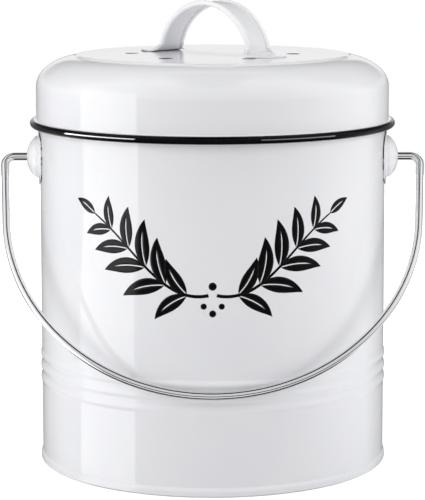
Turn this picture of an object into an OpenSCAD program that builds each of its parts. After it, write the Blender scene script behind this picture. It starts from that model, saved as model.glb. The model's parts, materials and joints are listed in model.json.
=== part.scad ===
/*
A lidded steel pail for kitchen scraps, with a swinging wire bail.
The lid lifts straight off. A strap handle is welded across its raised disc.
Six vent holes in the disc lead to a charcoal pad, held in a tray under the lid.
Origin: middle of the base, on the plane the pail rests on. +Z is up, -Y is the front.
*/

/* [Pail] */
// Outside radius of the pail wall
pail_r = 90; // [85:0.5:100]
// Height of the pail without its lid
pail_h = 202; // [170:1:240]
// Thickness of the sheet steel
sheet_t = 0.6; // [0.5:0.05:0.8]
// Radius of the inward curl round the mouth
curl_r = 2.4; // [2:0.1:3]
// How far round the curl turns, in degrees
curl_turn = 290; // [240:5:300]
// Height of the middle one of the three beads
bead_z = 50; // [30:1:80]
// Distance from one bead to the next
bead_pitch = 6.4; // [5.5:0.1:9]
// How far a bead stands out from the wall
bead_proud = 0.6; // [0.3:0.05:0.9]
// Half the height of one bead
bead_half = 2.2; // [1.6:0.1:2.5]
// Width of the lap where the wall's two ends are welded
lap_w = 6; // [4:0.5:10]
// Gap between the lap's top and the curl
lap_short = 2; // [1:0.5:6]

/* [Base] */
// Height of the seam round the foot
seam_h = 5.2; // [4:0.1:8]
// How far the seam stands out from the wall
seam_proud = 0.85; // [0.7:0.05:1.4]
// Height of the sunk floor above the resting plane
floor_z = 4.2; // [3:0.1:6]
// Radius of the two lower edges of the fold round the wall's foot
fold_edge_r = 0.8; // [0.5:0.05:0.95]
// Radius of the fold's upper edge
fold_lip_r = 0.7; // [0.3:0.05:0.75]
// Slack between the wall and the fold that holds it
fold_slack = 0.05; // [0.02:0.01:0.1]

/* [Ears] */
// Height of the bail's pivot
pivot_z = 158.7; // [120:0.1:165]
// Diameter of an ear's flange
ear_flange_d = 29; // [26:0.5:36]
// Thickness of the ear's pressing
ear_t = 0.8; // [0.6:0.05:1.2]
// Radius of the dome at its foot
dome_r = 11; // [9:0.1:12]
// How far the dome stands out from the flange
dome_h = 6.25; // [5:0.05:8]
// Radius of the dome's rounded side
dome_knuckle = 3.6; // [2.5:0.1:4.5]
// Gap at the weld between ear and wall
weld_gap = 0.05; // [0:0.01:0.1]

/* [Bail] */
// Diameter of the bail wire
wire_d = 4; // [3:0.1:5]
// Length from the pivot to the middle of the grip
bail_len = 141.6; // [125:0.1:160]
// Radius of the wide arc that the hand holds
grip_r = 104; // [95:1:112]
// Half the angle of the wide arc
grip_half = 40; // [35:1:48]
// Length of bare wire between the ear's dome and the bend
stub_l = 6.25; // [3:0.25:9]
// How far a leg leans inwards, in degrees
leg_lean = 4; // [2:0.5:6]
// Radius of the bend at the ear
bend_r = 5; // [4:0.5:8]
// Diameter of the upset head inside the ear
head_d = 7; // [6:0.1:8]
// Thickness of the upset head
head_t = 1.4; // [1:0.1:2]
// Clearance all round the wire in its ear
wire_play = 0.08; // [0.03:0.01:0.1]
// Distance from the ear's flange to the wire's head
head_off = 2.1; // [1.5:0.1:2.6]
// Gap between the resting bail and the beads
bail_rest_gap = 0.1; // [0:0.05:0.3]

/* [Lid] */
// Gap between the pail's wall and the lid's skirt
skirt_gap = 1.1; // [0.7:0.05:1.6]
// Gap between the lid and the pail's curl
seat_gap = 0.2; // [0.1:0.05:0.3]
// Height from the middle of the rim to the start of the shoulder
skirt_h = 18.6; // [14:0.1:26]
// Radius of the shoulder's lower bend
shoulder_r1 = 12; // [10:0.5:14]
// Radius of the shoulder's upper bend
shoulder_r2 = 24.5; // [20:0.5:27]
// Slope, in degrees, of the shoulder where it meets the raised disc
shoulder_slope = 8; // [5:0.5:12]
// Distance from the skirt's face in to the foot of the raised disc
shoulder_w = 19.7; // [18.7:0.1:24]
// Radius of the two small bends up to the disc
riser_r = 1.45; // [1:0.05:2]
// Steepest slope, in degrees, of the step up to the disc
riser_slope = 50; // [35:1:60]
// Radius of the bend where the skirt flares onto the rim
flare_r = 0.6; // [0.4:0.1:0.9]
// Radius of the rolled rim's tube
rim_tube_r = 1.95; // [1.6:0.05:2.4]
// Distance from the skirt's face to the middle of the rolled rim
rim_out = 1.35; // [1.3:0.05:1.8]
// How far round the rim is rolled, in degrees
rim_turn = 310; // [270:5:330]

/* [Vents] */
// Number of vent holes
vent_n = 6; // [4:1:8]
// Radius of the circle of vent holes
vent_ring_r = 42; // [38:0.5:46]
// Diameter of one vent hole
vent_d = 7.2; // [5:0.1:8]
// Direction of the first vent hole, in degrees
vent_start = -4; // [-10:1:5]

/* [Strap handle] */
// Direction of the strap across the lid, in degrees
strap_turn = -43; // [-60:1:-30]
// Distance between the middles of the two rolled edges
edge_gap = 14.5; // [12:0.5:18]
// Diameter of a rolled edge
edge_d = 2.6; // [2:0.1:3]
// Thickness of the strap
strap_t = 0.9; // [0.8:0.05:1.2]
// Radius of the arch at its top
arch_r1 = 29.5; // [26:0.5:34]
// Half the angle of the top arc
arch_half = 38; // [30:1:45]
// Radius of the arch's legs
arch_r2 = 42; // [36:0.5:46]
// Angle the strap has turned through at a leg's foot
leg_turn = 68; // [60:1:75]
// Radius of the bend from leg to pad
foot_r = 4; // [3:0.25:5]
// Angle of the foot bend at which the rolled edges stop
edge_stop = 30; // [15:1:40]
// Radius of the round pad
pad_r = 11.5; // [9:0.5:12]
// How far a pad's middle lies beyond the foot bend
pad_out = 1.05; // [0:0.05:3]

/* [Filter] */
// Thickness of the charcoal pad
filter_t = 8; // [5:0.5:8]
// Slack above, below and around the charcoal pad
filter_slack = 0.4; // [0.3:0.05:0.6]
// Thickness of the tray's plastic
tray_t = 1.6; // [1.2:0.1:2]
// Width of the tray's flange
flange_w = 5; // [4:0.25:7]
// Width of one bar of the tray's grille
bar_w = 2.4; // [1.8:0.1:3.5]
// Number of spokes in the grille
spoke_n = 12; // [8:1:16]
// Number of rings in the grille
ring_n = 4; // [3:1:5]
// Number of clips that hold the tray
clip_n = 3; // [3:1:4]
// Direction of the first clip, in degrees
clip_start = 30; // [0:5:60]
// Angle the tray turns from held to free
twist = 30; // [20:5:60]
// Distance from a clip's foot out to the foot of the raised disc
clip_margin = 3.25; // [2.75:0.05:8]
// Length of the foot that welds a clip to the lid
clip_foot_l = 3.4; // [2.5:0.1:5]
// Length of a clip's lip under the flange
clip_lip_l = 3; // [2:0.1:3.5]
// Width of one clip
clip_w = 9; // [7:0.5:11]
// Thickness of a clip's steel
clip_t = 0.8; // [0.6:0.1:1]
// Slack between the tray's flange and a clip
clip_slack = 0.35; // [0.3:0.05:0.5]
// Width of a notch that lets the flange past a clip
notch_w = 13; // [12:0.5:16]
// Distance from the tray's wall to the bottom of a notch
notch_in = 0.4; // [0.2:0.1:1]

/* [Hidden] */
$fn = 96;
// The curl's middle, where the lid seats
curl_x = pail_r - curl_r;
curl_z = pail_h - curl_r;
// The lid's skirt goes round the pail's wall
lid_r = pail_r + skirt_gap + sheet_t;
disc_foot_r = lid_r - shoulder_w;
// The lid seats where its shoulder's first bend clears the curl by the seat gap
knuckle_x = lid_r - shoulder_r1;
seat_reach = shoulder_r1 - sheet_t - curl_r - seat_gap;
lid_z = curl_z - sqrt(pow(seat_reach, 2) - pow(curl_x - knuckle_x, 2));
rim_x = lid_r + rim_out;
rim_z = lid_z - skirt_h;
ledge_z = rim_z + rim_tube_r;
// Middles of the arcs of the lid's section, from the shoulder to the raised disc
turn_1 = 45;
turn_2 = 90 - shoulder_slope;
turn_3 = 90 - riser_slope;
shoulder_c1 = [knuckle_x, lid_z];
shoulder_c2 = shoulder_c1 + (shoulder_r1 - shoulder_r2) * polar(turn_1);
shoulder_end = shoulder_c2 + shoulder_r2 * polar(turn_2);
slope_run = shoulder_end[0] - disc_foot_r;
foot_point = [disc_foot_r, shoulder_end[1] + slope_run * tan(shoulder_slope)];
riser_c1 = foot_point + riser_r * polar(turn_2);
riser_c2 = riser_c1 - 2 * riser_r * polar(turn_3);
disc_z = riser_c2[1] + riser_r;
under_z = disc_z - sheet_t;
// A bead is an arc whose middle lies inside the wall
bead_r = (pow(bead_half, 2) + pow(bead_proud, 2)) / (2 * bead_proud);
bead_x = pail_r + bead_proud - bead_r;
bead_turn = asin(bead_half / bead_r);
bead_turn_in = acos((pail_r - sheet_t - bead_x) / (bead_r - sheet_t));
// The fold round the foot of the wall
fold_out = pail_r + seam_proud;
fold_in = pail_r - 2 * sheet_t - fold_slack;
// The ears
ear_x = pail_r + weld_gap;
flange_x = ear_x + ear_t;
// Where two bent lengths meet, a join this long and this much wider makes them one
join_l = 0.5;
join_proud = 0.06;
// The bail leans forward until its grip rests on the beads
rest_y = pail_r + bead_proud + wire_d / 2 + bail_rest_gap;
bail_lean = asin(rest_y / bail_len);
grip_c = [0, -(bail_len - grip_r)];
bend_c = [flange_x + dome_h + stub_l, -bend_r];
leg_head = bend_c + bend_r * polar(-leg_lean);
// The arc between grip and leg has the radius that brings the leg's line to the bend
line_in = leg_head[0] - (leg_head[1] - grip_c[1]) * tan(leg_lean);
grip_in = grip_r * (sin(grip_half) + cos(grip_half) * tan(leg_lean));
side_in = 1 / cos(leg_lean) - sin(grip_half) - cos(grip_half) * tan(leg_lean);
side_r = (line_in - grip_in) / side_in;
side_c = grip_c + (grip_r - side_r) * polar(grip_half - 90);
leg_foot = side_c + side_r * polar(-leg_lean);
leg_len = (leg_head[1] - leg_foot[1]) / cos(leg_lean);
head_x = flange_x + head_off;
// The strap, drawn in its own upright plane from the top of the disc
edge_r = edge_d / 2;
leg_in = 90 - leg_turn;
top_out = 90 - arch_half;
arch_rise = arch_r1 * (1 - cos(arch_half));
leg_rise = arch_r2 * (cos(arch_half) - cos(leg_turn));
foot_rise = foot_r * (1 - cos(leg_turn));
pad_t = strap_t + join_proud;
strap_top = pad_t / 2 + arch_rise + leg_rise + foot_rise;
arch_c1 = [0, strap_top - arch_r1];
arch_c2 = arch_c1 + (arch_r1 - arch_r2) * polar(top_out);
leg_end = arch_c2 + arch_r2 * polar(leg_in);
foot_c = leg_end + foot_r * polar(leg_in);
pad_reach = foot_c[0] + pad_out;
// The filter under the lid takes its size from the raised disc, from the clips inwards
clip_in = disc_foot_r - clip_margin - clip_foot_l;
tray_flange_r = clip_in - clip_slack;
tray_out = tray_flange_r - flange_w;
tray_in = tray_out - tray_t;
filter_r = tray_in - filter_slack;
filter_z = under_z - filter_slack - filter_t;
tray_z = filter_z - filter_slack - tray_t;
flange_top = under_z - filter_slack - clip_t / 2;
lip_z = flange_top - tray_t - clip_slack - clip_t;
// Cutters run this far past what they cut
past = 10;

// The unit vector at an angle
function polar(a) = [cos(a), sin(a)];

// Points along an arc, from angle a0 to angle a1
function arc(c, r, a0, a1, n = 10) =
    [for (i = [0:n]) c + r * polar(a0 + (a1 - a0) * i / n)];

// One bead's arc, upwards on the outside and downwards on the inside
function bead_out(z) = arc([bead_x, z], bead_r, -bead_turn, bead_turn, 8);
function bead_in(z) = arc([bead_x, z], bead_r - sheet_t, bead_turn_in, -bead_turn_in, 8);

// The upper face of the lid's sheet, or with d the lower face
function lid_face(d) = concat(
    [[rim_x, ledge_z - d]],
    arc([lid_r + flare_r, ledge_z + flare_r], flare_r + d, -90, -180, 6),
    arc(shoulder_c1, shoulder_r1 - d, 0, turn_1),
    arc(shoulder_c2, shoulder_r2 - d, turn_1, turn_2),
    arc(riser_c1, -(riser_r + d), turn_2, turn_3, 6),
    arc(riser_c2, riser_r - d, turn_3, 90, 6),
    [[0, disc_z - d]]);

function reversed(list) = [for (i = [len(list) - 1:-1:0]) list[i]];

// Copies of the children turned about the upright axis
module ring_of(n, start = 0) {
    for (i = [0:n - 1]) {
        rotate([0, 0, start + i * 360 / n]) children();
    }
}

module body_wall() {
    beads = [bead_z - bead_pitch, bead_z, bead_z + bead_pitch];
    wall_foot = sheet_t + 2 * fold_slack;
    outside = concat(
        [[pail_r, wall_foot]],
        [for (z = beads) each bead_out(z)],
        arc([curl_x, curl_z], curl_r, 0, curl_turn, 24));
    inside = concat(
        arc([curl_x, curl_z], curl_r - sheet_t, curl_turn, 0, 24),
        [for (z = reversed(beads)) each bead_in(z)],
        [[pail_r - sheet_t, wall_foot]]);
    color("whitesmoke") {
        rotate_extrude($fn = 180) polygon(concat(outside, inside));
        back_lap();
    }
}

// The welded lap inside the back of the wall
module back_lap() {
    lap_r = pail_r - sheet_t;
    lap_top = curl_z - curl_r - lap_short;
    translate([0, 0, seam_h]) linear_extrude(lap_top - seam_h) {
        intersection() {
            difference() {
                circle(r = lap_r + sheet_t / 2, $fn = 180);
                circle(r = lap_r - sheet_t, $fn = 180);
            }
            translate([-lap_w / 2, 0]) square([lap_w, pail_r]);
        }
    }
}

// The base is one pressing: a sunk floor, a leg down and a fold round the wall's foot
module base_pan() {
    fold_bottom = sheet_t + fold_slack;
    section = concat(
        [[0, floor_z], [fold_in, floor_z]],
        [[fold_in + sheet_t, floor_z], [fold_in + sheet_t, fold_bottom]],
        [[pail_r + fold_slack, fold_bottom], [pail_r + fold_slack, seam_h]],
        arc([fold_out - fold_lip_r, seam_h - fold_lip_r], fold_lip_r, 90, 0, 5),
        arc([fold_out - fold_edge_r, fold_edge_r], fold_edge_r, 0, -90, 6),
        arc([fold_in + fold_edge_r, fold_edge_r], fold_edge_r, -90, -180, 6),
        [[fold_in, floor_z - sheet_t], [0, floor_z - sheet_t]]);
    color("whitesmoke") rotate_extrude($fn = 180) polygon(section);
}

// Section of the ear's dome: a flat crown run into a rounded side
module dome_section(r, h, k) {
    crown = (pow(r - k, 2) + pow(h, 2) - pow(k, 2)) / (2 * (h - k));
    meet = atan2(h - crown, r - k);
    side_turn = -meet > 0 ? atan2(crown - h, r - k) : 0;
    polygon(concat(
        [[0, -past], [r, -past]],
        arc([r - k, 0], k, 0, side_turn, 8),
        arc([0, h - crown], crown, side_turn, 90, 10)));
}

module dome_solid(r, h, k) {
    translate([flange_x, 0, pivot_z]) rotate([0, 90, 0]) {
        rotate_extrude($fn = 72) dome_section(r, h, k);
    }
}

// One ear, for the right-hand side
module ear() {
    reach = ear_flange_d;
    difference() {
        union() {
            intersection() {
                translate([0, 0, pivot_z - reach]) cylinder(r = flange_x, h = 2 * reach, $fn = 180);
                translate([0, 0, pivot_z]) rotate([0, 90, 0]) cylinder(d = ear_flange_d, h = flange_x + past);
            }
            dome_solid(dome_r, dome_h, dome_knuckle);
        }
        dome_solid(dome_r - ear_t, dome_h - ear_t, dome_knuckle - ear_t);
        translate([0, 0, pivot_z - reach]) cylinder(r = ear_x, h = 2 * reach, $fn = 180);
        translate([pail_r, 0, pivot_z]) rotate([0, 90, 0]) {
            cylinder(d = wire_d + 2 * wire_play, h = dome_h + past, $fn = 48);
        }
    }
}

module ear_right() {
    color("whitesmoke") ear();
}

module ear_left() {
    color("whitesmoke") mirror([1, 0, 0]) ear();
}

// A bent length of wire in the bail's plane, between two angles
module wire_arc(c, r, a0, a1) {
    translate([c[0], 0, c[1]]) rotate([90, 0, 0]) rotate([0, 0, a0]) {
        rotate_extrude(angle = a1 - a0, $fn = 180) translate([r, 0]) circle(d = wire_d, $fn = 32);
    }
}

// A collar, a hair wider than the wire, where two lengths of it meet
module wire_join(c, r, a) {
    translate([c[0], 0, c[1]]) rotate([0, -a, 0]) translate([r, 0, 0]) {
        cylinder(d = wire_d + join_proud, h = join_l, center = true, $fn = 32);
    }
}

// Everything of the bail on the right of its middle
module bail_side() {
    wire_arc(side_c, side_r, grip_half - 90, -leg_lean);
    wire_join(side_c, side_r, grip_half - 90);
    wire_join(side_c, side_r, -leg_lean);
    translate([leg_foot[0], 0, leg_foot[1]]) rotate([0, leg_lean, 0]) {
        cylinder(d = wire_d, h = leg_len, $fn = 32);
    }
    wire_arc(bend_c, bend_r, -leg_lean, 90);
    wire_join(bend_c, bend_r, -leg_lean);
    wire_join(bend_c, bend_r, 90);
    translate([head_x, 0, 0]) rotate([0, 90, 0]) {
        cylinder(d = wire_d, h = bend_c[0] - head_x, $fn = 32);
        cylinder(d = head_d, h = head_t, $fn = 32);
    }
}

module bail() {
    color("silver") translate([0, 0, pivot_z]) rotate([-bail_lean, 0, 0]) {
        wire_arc(grip_c, grip_r, -90 - grip_half, -90 + grip_half);
        bail_side();
        mirror([1, 0, 0]) bail_side();
    }
}

module lid_shell() {
    color("whitesmoke") difference() {
        rotate_extrude($fn = 180) polygon(concat(lid_face(0), reversed(lid_face(sheet_t))));
        ring_of(vent_n, vent_start) {
            translate([vent_ring_r, 0, under_z - past]) cylinder(d = vent_d, h = 2 * past, $fn = 48);
        }
    }
}

// The lid's edge, rolled outwards and under, and painted
module lid_rim() {
    stop = 90 - rim_turn;
    color("black") rotate_extrude($fn = 180) polygon(concat(
        arc([rim_x, rim_z], rim_tube_r, 90, stop, 28),
        arc([rim_x, rim_z], rim_tube_r - sheet_t, stop, 90, 28)));
}

// The strap's flat web across, and made a hair larger by d where two lengths meet
module web_section(d = 0) {
    square([strap_t + d, edge_gap + d], center = true);
}

// The two rolled edges across
module edge_section(d = 0) {
    for (side = [-1, 1]) {
        translate([0, side * edge_gap / 2]) circle(d = edge_d + d, $fn = 32);
    }
}

// The children's section, swept along an arc in the strap's upright plane
module strap_arc(c, r, a0, a1) {
    translate([c[0], 0, c[1]]) rotate([90, 0, 0]) rotate([0, 0, a0]) {
        rotate_extrude(angle = a1 - a0, $fn = 120) translate([r, 0]) children();
    }
}

// A short length of the strap, a hair larger, where two arcs meet
module strap_join(c, r, a) {
    translate([c[0], 0, c[1]]) rotate([0, -a, 0]) translate([r, 0, -join_l / 2]) {
        linear_extrude(join_l) {
            web_section(join_proud);
            edge_section(join_proud);
        }
    }
}

// A leg of the strap, its foot bend and its pad
module strap_side() {
    leg_out = 180 + leg_in;
    strap_arc(arch_c2, arch_r2, leg_in, top_out) {
        web_section();
        edge_section();
    }
    strap_join(arch_c2, arch_r2, leg_in);
    strap_join(arch_c2, arch_r2, top_out);
    strap_arc(foot_c, foot_r, leg_out, 270) web_section();
    strap_arc(foot_c, foot_r, leg_out, leg_out + edge_stop) edge_section();
    intersection() {
        translate([pad_reach, 0, 0]) cylinder(r = pad_r, h = pad_t, $fn = 72);
        translate([foot_c[0] - join_l, -pad_r, 0]) cube([2 * pad_r, 2 * pad_r, pad_t]);
    }
}

module lid_handle() {
    color("whitesmoke") translate([0, 0, disc_z]) rotate([0, 0, strap_turn]) {
        strap_arc(arch_c1, arch_r1, top_out, 180 - top_out) {
            web_section();
            edge_section();
        }
        strap_side();
        mirror([1, 0, 0]) strap_side();
    }
}

// One steel clip: a pad welded under the lid, a leg and a lip
module clip() {
    leg_h = under_z - lip_z;
    translate([clip_in, -clip_w / 2, lip_z]) cube([clip_t, clip_w, leg_h]);
    translate([clip_in - clip_lip_l, -clip_w / 2, lip_z]) cube([clip_lip_l + clip_t, clip_w, clip_t]);
    translate([clip_in, -clip_w / 2, under_z - clip_t]) cube([clip_foot_l, clip_w, clip_t]);
}

module filter_clips() {
    color("lightgray") ring_of(clip_n, clip_start) clip();
}

module ring_bar(r) {
    rotate_extrude($fn = 120) translate([r - bar_w / 2, tray_z]) square([bar_w, tray_t]);
}

// The grille is rings and spokes, the wall a ring, and the flange has one notch per clip
module filter_tray() {
    ring_step = tray_in / (ring_n + 0.5);
    color("dimgray") {
        for (i = [1:ring_n]) {
            ring_bar(i * ring_step);
        }
        translate([0, 0, tray_z]) cylinder(r = ring_step / 2, h = tray_t);
        ring_of(spoke_n) {
            translate([ring_step / 4, -bar_w / 2, tray_z]) {
                cube([tray_in + tray_t / 2 - ring_step / 4, bar_w, tray_t]);
            }
        }
        rotate_extrude($fn = 120) translate([tray_in, tray_z]) square([tray_t, flange_top - tray_z]);
        difference() {
            rotate_extrude($fn = 120) {
                translate([tray_in, flange_top - tray_t]) square([tray_flange_r - tray_in, tray_t]);
            }
            ring_of(clip_n, clip_start + twist) {
                translate([tray_out + notch_in, -notch_w / 2, tray_z]) cube([flange_w + past, notch_w, past]);
            }
        }
    }
}

module charcoal_filter() {
    color("#2b2b2b") translate([0, 0, filter_z]) cylinder(r = filter_r, h = filter_t, $fn = 120);
}

body_wall();
base_pan();
ear_left();
ear_right();
bail();
lid_shell();
lid_rim();
lid_handle();
filter_clips();
filter_tray();
charcoal_filter();
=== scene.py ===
"""Looks for a white enamelled steel pail with a lift-off lid and a wire bail.

Every length of the pail is in millimetres and becomes metres when its mesh is made. The studio's
lengths are in metres. Angles are in degrees, but for the camera's turn, which is in radians.
"""

import math
import random

import bmesh
import bpy
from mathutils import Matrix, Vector
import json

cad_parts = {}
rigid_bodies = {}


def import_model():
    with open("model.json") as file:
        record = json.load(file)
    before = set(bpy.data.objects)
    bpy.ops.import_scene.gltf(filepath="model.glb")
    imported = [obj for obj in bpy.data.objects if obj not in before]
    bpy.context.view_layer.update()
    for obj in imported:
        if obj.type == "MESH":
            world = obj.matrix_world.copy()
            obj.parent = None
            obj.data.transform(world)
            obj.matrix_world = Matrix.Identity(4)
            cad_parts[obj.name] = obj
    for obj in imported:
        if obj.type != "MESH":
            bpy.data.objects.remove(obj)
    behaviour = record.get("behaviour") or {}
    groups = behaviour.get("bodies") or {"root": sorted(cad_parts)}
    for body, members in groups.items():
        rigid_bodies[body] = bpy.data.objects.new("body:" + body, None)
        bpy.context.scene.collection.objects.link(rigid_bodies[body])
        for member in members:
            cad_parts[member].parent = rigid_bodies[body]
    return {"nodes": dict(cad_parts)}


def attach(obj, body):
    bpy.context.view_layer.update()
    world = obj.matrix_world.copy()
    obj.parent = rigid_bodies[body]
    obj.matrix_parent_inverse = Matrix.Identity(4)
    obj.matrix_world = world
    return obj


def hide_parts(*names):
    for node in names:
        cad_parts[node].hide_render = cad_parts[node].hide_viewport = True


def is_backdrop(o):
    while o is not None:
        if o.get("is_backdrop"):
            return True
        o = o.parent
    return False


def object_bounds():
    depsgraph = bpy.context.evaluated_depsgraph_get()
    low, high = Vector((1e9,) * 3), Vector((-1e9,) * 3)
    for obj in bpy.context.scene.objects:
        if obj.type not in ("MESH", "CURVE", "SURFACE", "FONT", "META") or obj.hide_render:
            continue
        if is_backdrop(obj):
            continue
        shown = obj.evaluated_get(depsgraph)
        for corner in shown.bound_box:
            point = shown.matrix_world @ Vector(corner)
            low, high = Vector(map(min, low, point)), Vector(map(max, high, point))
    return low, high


MM = 0.001
# Points nearer than this are one
MERGE = 1e-4
# Material slots of a piece with more than one finish
# Slot for painted shade along cut edges
EDGE_SHADE_FINISH = 1
# Slot for the painted highlight on the strap's rolled edges
HIGHLIGHT_FINISH = 2

# How many sides round things have
ROUND = 256
ROUND_RIM = 320
ROUND_PAD = 160
ROUND_EAR = 128
ROUND_VENT = 48
ROUND_SMALL = 28

# Pail
PAIL_R = 90.0
PAIL_H = 202.0
SHEET = 0.6
WALL_FOOT = 0.75
CURL_R = 2.4
CURL_TURN = 290
BEADS = (43.6, 50.0, 56.4)
BEAD_PROUD = 0.6
BEAD_REACH = 2.8
FOLD_OUT = 90.85
FOLD_IN = 88.75
FOLD_BEND_OUT = 0.85
FOLD_BEND_Z = 1.05
FOLD_BEND_IN = 0.8
FOLD_TOP_IN = 3.0
LAND_OUT = 90.1
FLOOR_Z = 4.2
FLOOR_UNDER = 3.6
FLOOR_RING = 60.0
# A round plate's innermost ring
MIDDLE = 0.02
# The fold's upper lip as (radius, height), from the wall outwards
FOLD_LIP = (
    (90.02, 4.75), (90.12, 4.5), (90.32, 4.15), (90.55, 3.7), (90.72, 3.2), (90.81, 2.6), (90.84, 2.0),
)
# The floor's edge, where it turns up against the inside of the wall
FLOOR_LIP = ((88.6, FLOOR_Z), (89.2, 4.35), (89.35, 4.8), (89.9, 4.9))
LAP_W = 6.0
LAP_HEIGHTS = (5.4, 5.8, 80.0, 192.0, 195.0, 195.2)
LAP_END_SHARE = 0.3
# The lap's section as (share of its half width, out from the wall's inside)
LAP_SECTION = ((-1.0, 0.1), (-0.96, -0.3), (-0.85, -0.55), (0.85, -0.55), (0.96, -0.3), (1.0, 0.1))

# Ears
PIVOT_Z = 158.7
EAR_IN = 90.05
EAR_T = 0.8
EAR_SHEET = 0.5
FLANGE_IN = 12.0
FLANGE_HALF_W = 21.0
FLANGE_HALF_H = 13.6
FLANGE_SQUARE = 3.6
# The flange as (share of the way to its outline, height); the last three are its cut edge
FLANGE_SECTION = (
    (0.0, 0.0), (0.35, 0.0), (0.65, 0.0), (0.95, 0.0),
    (0.985, -0.06), (1.0, -0.2), (1.0, -0.62), (0.99, -0.8),
)
EDGE_RINGS = 3
DOME_R = 11.0
DOME_H = 6.25
DOME_FLAT_RUN = 3.0
KNUCKLE = 3.6
FILLET_R = 0.62
FILLET_OUT = 0.7
WIRE_PLAY = 0.12
# The hole's lip as (past the hole's radius, below the dome's top)
HOLE_LIP = ((0.0, 0.7), (0.02, 0.12))
LIP_REACH = 0.25
CROWN_START = 2.4
CROWN_SPAN = (3.0, 7.2)
KNUCKLE_START = 7.3
KNUCKLE_TURNS = (70, 6)
EAR_WELD_OUT = 16.5
EAR_WELD_R = 1.6
EAR_WELD_DEEP = 0.25

# Print: u is millimetres round the front of the wall and v is the height
PRINT_R = PAIL_R + 0.05
INK = 0.12
STEM = ((2, 101), (26, 96), (39, 126), (64, 139))
STEM_STEPS = 50
STEM_THICK = 1.7
STEM_THIN = 0.8
VEIN = 0.28
# Pairs of leaves as (step along the stem, length, width, bend)
LEAF_PAIRS = (
    (8, 20, 7.6, 2.2), (17, 23, 8.4, 2.5), (26, 23, 8.2, 2.4), (34, 20, 7.4, 2.0), (42, 16, 6.2, 1.6),
)
LEAF_LEANS = (50, -46)
LEAF_ROOT = 0.5
TIP_LEAF = (14, 5.6, 0.8)
# Dots in the middle as (u, v, radius)
DOTS = ((0, 105.5, 2.0), (-4.4, 95.6, 1.5), (4.4, 95.6, 1.5), (0, 92.0, 1.7))

# Bail
WIRE_R = 2.0
BAIL_LEN = 141.6
GRIP_R = 104.0
GRIP_HALF = 40
LEG_LEAN = 4
BEND_R = 5.0
STUB = 6.25
REST_Y = 92.7
STUB_IN = 2.4
HEAD_IN = 2.1
# The head on each end of the wire as (out from its inner face, radius)
HEAD_OUTLINE = ((0.0, 0.1), (0.0, 2.6), (0.5, 3.4), (1.0, 3.45), (1.4, 2.8), (1.4, 0.1))

# Lid
LID_R = 91.7
LID_Z = 195.72
RIM_X = 93.05
RIM_Z = 177.12
RIM_TUBE = 1.95
RIM_TURN = 310
SHOULDER_TURN = 45
SHOULDER_R1 = 12.0
SHOULDER_R2 = 24.5
SHOULDER_SLOPE = 8
DISC_FOOT = 72.0
RISER_R = 1.45
RISER_SLOPE = 50
FLARE_R = 0.6
DISC_TOP = 212.48
DISC_RADII = (69.3, 60.0, 50.0, 34.0, 20.0, MIDDLE)
VENT_N = 6
VENT_RING = 42.0
VENT_R = 3.6
VENT_START = -4
PUNCH_HEIGHTS = (205.0, 216.0)

# Strap: each side of the arch is an arc of R1 as far as HALF degrees from its top, then one of R2
# until it has turned LEG_TURN degrees, and then the foot's bend
STRAP_TURN = -43
STRAP_T = 0.9
EDGE_R = 1.3
EDGE_GAP = 14.5
ARCH_R1 = 32.5
ARCH_HALF = 53
ARCH_R2 = 25.5
LEG_TURN = 77
FOOT_R = 4.6
# The arch stands this far to one side of its pads, once it has risen that high
ARCH_SHIFT = 1.3
ARCH_SHIFT_RISE = 6
PAD_R = 11.5
PAD_OUT = 1.05
PAD_TIP = 88
PAD_LIFT = 0.02
# Where the rolled edges start to fade out above a pad, and over what length
ROLL_END = 5.6
ROLL_FADE = 3.2
ROLL_STEPS = 18
WEB_STEPS = 8
WEB_SHARE = 0.88
WEB_CROWN = 0.3
GROOVE = 0.3
NECK = 0.35
# Heights above the disc: the painted shade on the pads' edges ends at the first, and the painted
# highlight on the rolled edges starts at the second
SHADE_UP_TO = 0.42
HIGHLIGHT_FROM = 4
# Only faces left of this get the painted edge shade; the right pad is in good light
SHADE_LEFT_OF = 19
PAD_WELD_OUT = 2.2
PAD_WELD_ASIDE = 4.6
PAD_WELD_R = 1.9
PAD_WELD_DEEP = 0.3

# Filter
FILTER_R = 58.0
FILTER_Z = 203.48
FILTER_T = 8.0
FILTER_EDGE = 1.6
FILTER_SAG = 0.45
EDGE_SAG = 0.3
EDGE_SAG_SPAN = (40, 58)
LUMP_WAVES = 24
LUMP_SEED = 7
LUMP = 0.25
FUZZ = 0.09
FUZZ_PITCH = 5

# Studio, in metres and watts. A lamp's angle is counted from the front, to the right.
CAMERA_PLACE = (0.0, -1.14267, 0.29317)
CAMERA_TURN = (math.pi / 2 - 0.1325, 0.00133, -0.00017)
CAMERA_SENSOR = 36.0
CAMERA_LENS = 158.255
CAMERA_SHIFT = -0.12
WORLD_FILL = 0.24
FLOOR_R = 1.2
FLOOR_GLOW = 0.5
FLOOR_GLOW_FAR = 0.95
DOME_SIZE = 3.0
SOFTBOX = 2.0
PAIL_MIDDLE = (0.0, 0.0, 0.12)
# Strips beside the camera as (name, angle, power), at a distance and height
STRIPS = (("left_strip", -57, 2.08), ("right_strip", 61, 1.84))
STRIP_PLACE = (0.58, 0.28)
STRIP_SIZE = (0.36, 0.54)
# Large soft boxes as (name, place, size, power)
BOXES = (
    ("top_box", (0.0, 0.0, 1.2), (1.0, 0.8), 5.0),
    ("back_box", (0.0, 1.1, 0.5), (1.6, 0.9), 6.0),
)
# Kicks for the rim's streaks as (name, angle, width, power), at a distance and height
KICKS = (("left_kick", -74, 1.22, 190.0), ("right_kick", 54, 1.12, 38.0))
KICK_PLACE = (1.2, 0.23)
KICK_HEIGHT = 0.45
KICK_AIM = (0.0, 0.0, 0.177)
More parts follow.
